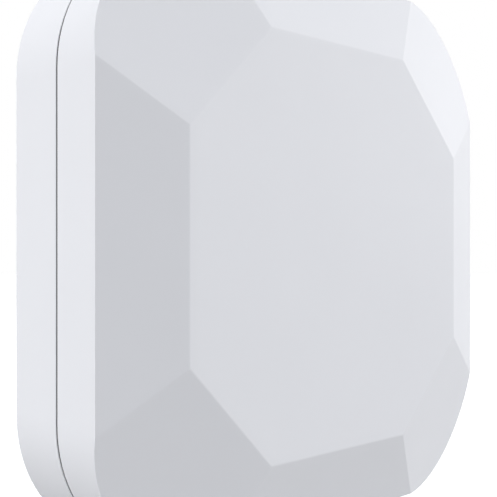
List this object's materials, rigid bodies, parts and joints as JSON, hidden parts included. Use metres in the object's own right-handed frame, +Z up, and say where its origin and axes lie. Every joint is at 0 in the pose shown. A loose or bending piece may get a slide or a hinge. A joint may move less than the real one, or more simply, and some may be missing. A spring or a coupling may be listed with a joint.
{
  "type": "wireless air sensor",
  "caption": "Wall-hung battery air sensor: a faceted white front cover on a rear housing that lifts off its wall plate, with cells, board, air sensors and radio inside.",
  "frame": {"origin": "centre of the wall plate's back face, which lies on the wall", "axes": "+X to the right seen from the front, +Z up, +Y into the wall"},
  "size_m": [0.084, 0.0222, 0.084],
  "materials": {
    "white_plastic": "satin",
    "plate_plastic": "fine texture",
    "board": "satin",
    "screw_steel": "zinc plated",
    "cell_jacket": "blue shrink sleeve",
    "nickel_plate": "bright",
    "spring_steel": "bright",
    "can_metal": "satin",
    "capacitor_metal": "satin",
    "black_plastic": "matt",
    "switch_plastic": "matt",
    "filter_cloth": "matt",
    "insert_brass": "turned",
    "gold_plate": "bright",
    "copper_wire": "bright",
    "chip_ceramic": "matt",
    "clear_acrylic": "polished",
    "foam": "matt",
    "mesh_cloth": "woven",
    "lamp_body": "gloss"
  },
  "bodies": {
    "wall_plate": {"wall_plate": "plate_plastic"},
    "housing": {"rear_housing": "white_plastic", "cover_screws": "screw_steel", "main_board": "board", "board_screws": "screw_steel", "upper_cell": "cell_jacket", "lower_cell": "cell_jacket", "upper_positive_contact": "nickel_plate", "lower_positive_contact": "nickel_plate", "upper_negative_contact": "nickel_plate", "lower_negative_contact": "nickel_plate", "upper_contact_spring": "spring_steel", "lower_contact_spring": "spring_steel", "co2_sensor_base": "black_plastic", "co2_sensor_can": "can_metal", "co2_filter": "filter_cloth", "humidity_sensor": "black_plastic", "gas_sensor": "can_metal", "pressure_sensor": "can_metal", "microcontroller": "black_plastic", "radio_board": "board", "radio_shield": "can_metal", "antenna": "copper_wire", "capacitor_base": "black_plastic", "storage_capacitor": "capacitor_metal", "status_led": "lamp_body", "header_base": "black_plastic", "header_pins": "gold_plate", "small_board_parts": "chip_ceramic", "tamper_switch": "switch_plastic", "reset_switch": "switch_plastic"},
    "tamper_plunger": {"tamper_plunger": "black_plastic"},
    "reset_button": {"reset_button": "black_plastic"},
    "cover": {"front_cover": "white_plastic", "threaded_inserts": "insert_brass", "light_pipe": "clear_acrylic", "sensor_gasket": "foam", "lower_dust_mesh": "mesh_cloth", "upper_dust_mesh": "mesh_cloth", "cell_pads": "foam"}
  },
  "joints": [
    {"name": "housing_lift", "type": "slide", "parent": "wall_plate", "child": "housing", "axis": [0, 0, 1], "range_m": [0, 0.006]},
    {"name": "cover_pull", "type": "slide", "parent": "housing", "child": "cover", "axis": [0, -1, 0], "range_m": [0, 0.05]},
    {"name": "reset_press", "type": "slide", "parent": "housing", "child": "reset_button", "axis": [0, 1, 0], "range_m": [0, 0.00025], "stiffness_N_per_m": 4000},
    {"name": "tamper_follow", "type": "slide", "parent": "housing", "child": "tamper_plunger", "axis": [0, 1, 0], "range_m": [0, 0.0009]}
  ],
  "couplings": [
    {"joint": "tamper_follow", "follows": "housing_lift", "ratio": 0.15}
  ]
}
